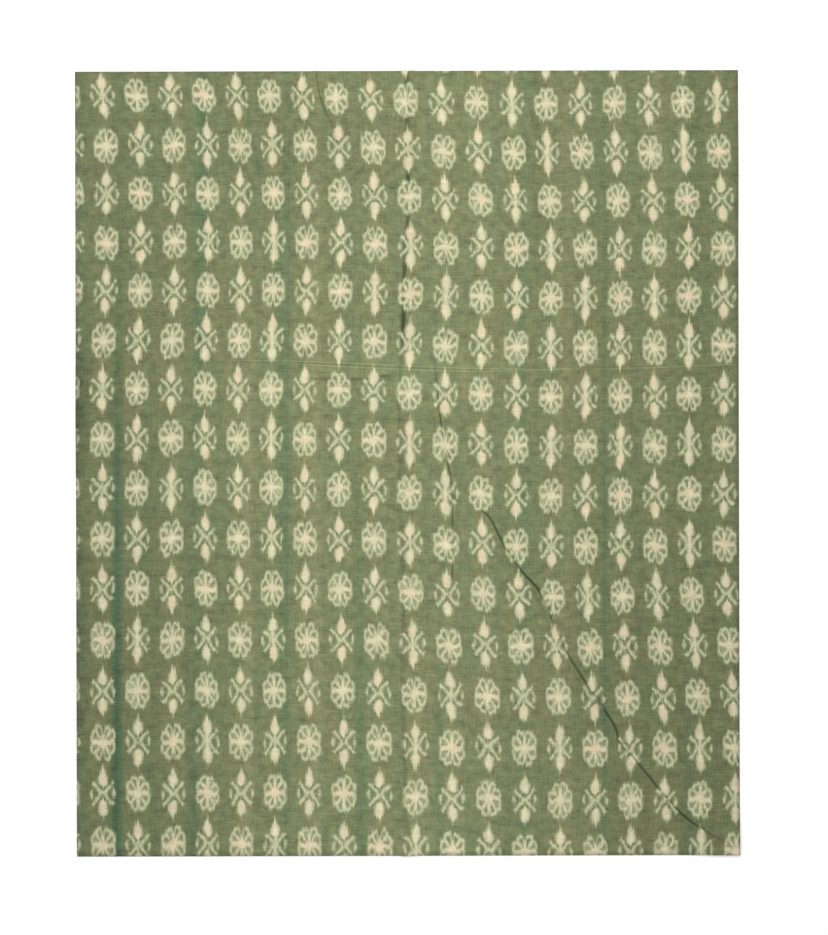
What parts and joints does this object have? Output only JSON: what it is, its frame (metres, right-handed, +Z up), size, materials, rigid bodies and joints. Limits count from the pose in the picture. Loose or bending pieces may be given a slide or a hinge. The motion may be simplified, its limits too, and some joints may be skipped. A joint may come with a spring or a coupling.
{
  "type": "length of ikat cloth",
  "caption": "Flat cut length of warp ikat cotton, green ground with rows of pale rosettes and bud figures, lightly creased",
  "frame": {"origin": "on the surface that the cloth lies on, below the middle of its bounding box", "axes": "+X across the cloth along the weft, +Y along the warp towards the top edge of the picture, +Z up off the surface, with the face of the cloth up"},
  "size_m": [0.8456, 1.0002, 0.0071],
  "materials": {
    "dyed_cotton": "matt hand-woven cotton, green with pale resist-dyed figures"
  },
  "bodies": {
    "root": {"ikat_cloth": "dyed_cotton"}
  },
  "joints": []
}
